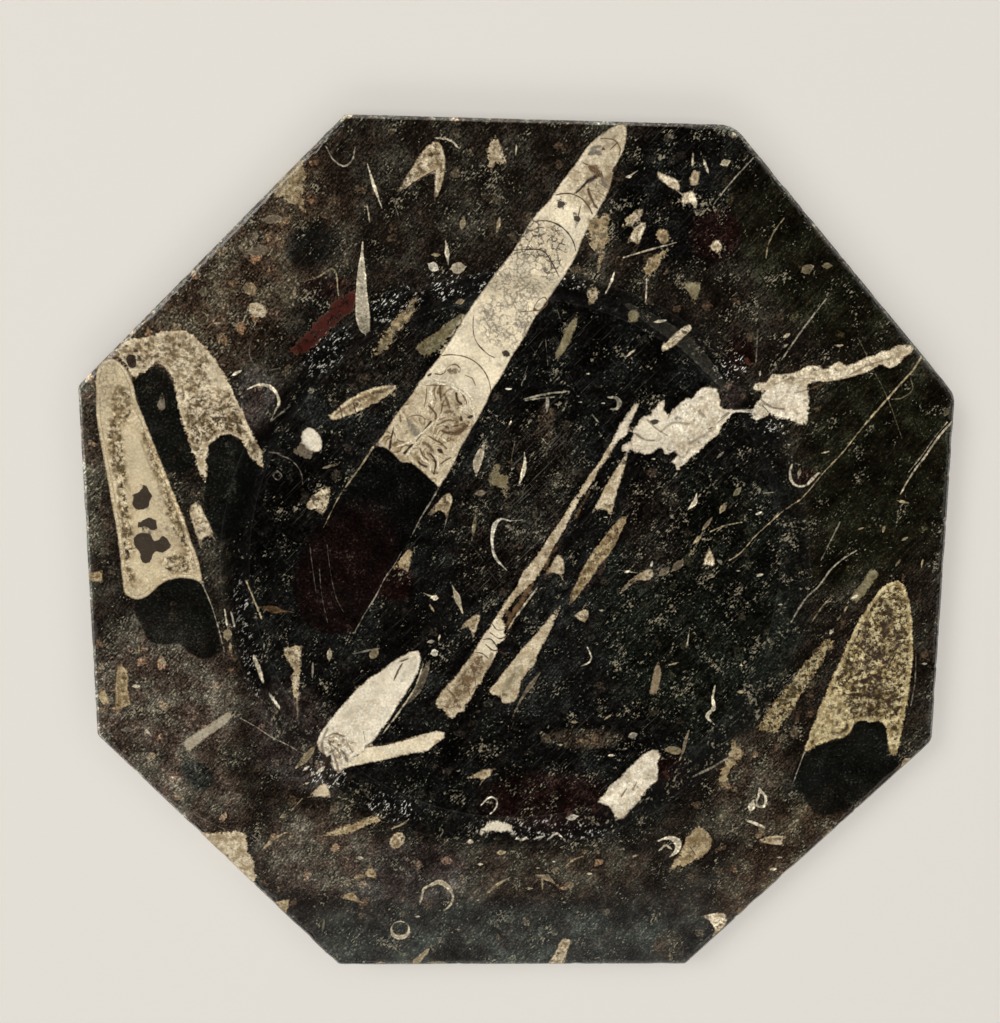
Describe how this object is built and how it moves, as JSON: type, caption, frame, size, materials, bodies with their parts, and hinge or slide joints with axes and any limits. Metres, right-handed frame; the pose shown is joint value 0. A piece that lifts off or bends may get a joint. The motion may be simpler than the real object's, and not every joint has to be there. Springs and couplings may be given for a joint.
{
  "type": "orthoceras fossil plate",
  "caption": "Octagonal display plate cut from one slab of polished black limestone with pale orthoceras fossils, with a shallow round well.",
  "frame": {"origin": "middle of the plate's outline, on the flat underside", "axes": "+Z out of the polished face, +Y towards the side where the longest fossil has its tip"},
  "size_m": [0.25, 0.25, 0.012],
  "materials": {
    "fossil_limestone": "polished black limestone with cream calcite fossils, fine shell speckle and thin calcite veins; sawn and duller underneath"
  },
  "bodies": {
    "root": {"fossil_plate": "fossil_limestone"}
  },
  "joints": []
}
